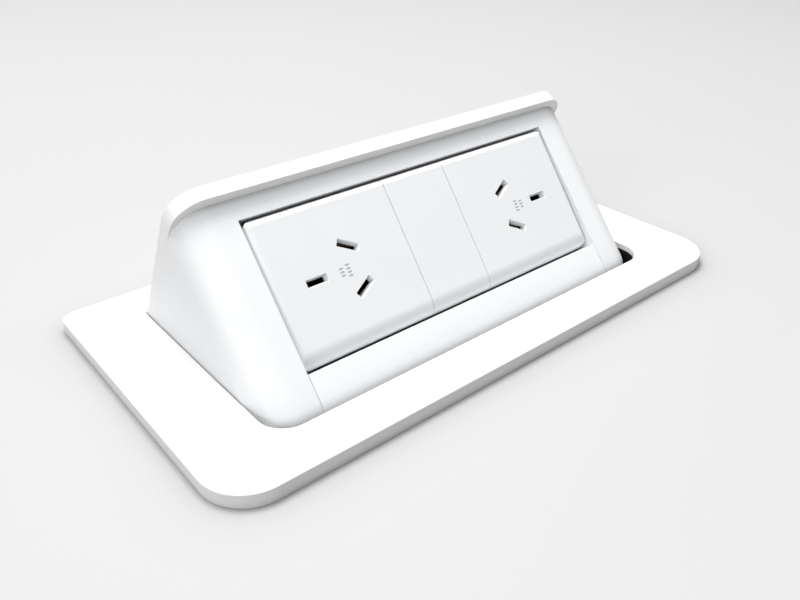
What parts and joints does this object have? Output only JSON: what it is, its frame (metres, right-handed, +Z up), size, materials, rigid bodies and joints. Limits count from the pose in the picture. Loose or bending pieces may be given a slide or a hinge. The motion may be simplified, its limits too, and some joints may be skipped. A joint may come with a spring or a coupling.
{
  "type": "pop up desk socket",
  "caption": "White desk power box: a tub under a flush plate, and a hinged lid unit that swings up to show socket outlets beside a blank.",
  "frame": {"origin": "middle of the plate, on the desk surface that its underside rests on", "axes": "+X along the long side, +Y towards the hinge side, +Z up"},
  "size_m": [0.2122, 0.112, 0.1357],
  "materials": {
    "plate_white": "smooth white, slight sheen",
    "lid_white": "smooth white, slight sheen",
    "body_white": "satin white",
    "rail_white": "satin white",
    "module_white": "satin white",
    "tub_charcoal": "dark charcoal, fine texture",
    "base_black": "black",
    "carrier_grey": "light grey",
    "brass": "bare",
    "zinc_steel": "zinc plated",
    "pin_steel": "ground",
    "rubber_black": "soft matt",
    "nylon_black": "black",
    "nylon_grey": "grey",
    "acetal_natural": "off-white",
    "block_cream": "cream"
  },
  "bodies": {
    "base": {"bezel_plate": "plate_white", "bezel_screws": "zinc_steel", "tub_housing": "tub_charcoal", "hinge_pin_right": "pin_steel", "hinge_pin_left": "pin_steel", "torsion_spring_right": "pin_steel", "torsion_spring_left": "pin_steel", "stop_pads": "rubber_black", "damper_body": "nylon_black", "damper_screws": "zinc_steel", "latch_body": "nylon_grey", "latch_screws": "zinc_steel", "latch_spring": "pin_steel", "terminal_block": "block_cream", "terminal_inserts": "brass", "terminal_wire_screws": "zinc_steel", "terminal_fixing_screws": "zinc_steel", "access_cover": "nylon_black", "access_screws": "zinc_steel", "gland_body": "nylon_grey", "gland_seal": "rubber_black", "gland_dome_nut": "nylon_grey", "gland_locknut": "nylon_grey"},
    "popup": {"lid_cover": "lid_white", "lid_screws": "zinc_steel", "face_frame": "body_white", "front_rail": "rail_white", "module_carrier": "carrier_grey", "carrier_screws": "zinc_steel", "blank_cover": "module_white", "back_cover": "nylon_black", "back_cover_screws": "zinc_steel", "striker": "zinc_steel", "gear_sector": "acetal_natural", "gear_sector_screws": "zinc_steel", "hinge_bush_right": "acetal_natural", "hinge_bush_left": "acetal_natural", "outlet_terminal_screws": "zinc_steel", "left_outlet_cover": "module_white", "left_outlet_base": "base_black", "left_earth_contact": "brass", "left_active_contact": "brass", "left_neutral_contact": "brass", "right_outlet_cover": "module_white", "right_outlet_base": "base_black", "right_earth_contact": "brass", "right_active_contact": "brass", "right_neutral_contact": "brass"},
    "damper_rotor": {"damper_pinion": "acetal_natural"},
    "latch_rod": {"latch_plunger": "acetal_natural", "latch_magnet": "pin_steel"},
    "clamp_right": {"clamp_bracket_right": "zinc_steel", "clamp_nut_right": "zinc_steel", "clamp_thumbscrew_right": "nylon_black"},
    "clamp_left": {"clamp_bracket_left": "zinc_steel", "clamp_nut_left": "zinc_steel", "clamp_thumbscrew_left": "nylon_black"}
  },
  "joints": [
    {"name": "popup_hinge", "type": "hinge", "parent": "base", "child": "popup", "pos_m": [0, 0.0306, -0.0115], "axis": [1, 0, 0], "range_deg": [0, 58.4], "stiffness_Nm_per_rad": 0.12, "springref_deg": -103.13, "deforming": ["torsion_spring_right", "torsion_spring_left"]},
    {"name": "damper_spin", "type": "hinge", "parent": "base", "child": "damper_rotor", "pos_m": [0, 0.03421, -0.03198], "axis": [1, 0, 0], "range_deg": [-200, 5]},
    {"name": "latch_press", "type": "slide", "parent": "base", "child": "latch_rod", "axis": [0, 1, 0], "range_m": [0, 0.0025], "stiffness_N_per_m": 400, "springref_m": -0.005, "deforming": ["latch_spring"]},
    {"name": "clamp_right_slide", "type": "slide", "parent": "base", "child": "clamp_right", "axis": [0, 0, 1], "range_m": [-0.02, 0.013]},
    {"name": "clamp_left_slide", "type": "slide", "parent": "base", "child": "clamp_left", "axis": [0, 0, 1], "range_m": [-0.02, 0.013]}
  ],
  "couplings": [
    {"joint": "damper_spin", "follows": "popup_hinge", "ratio": -3.3333}
  ]
}
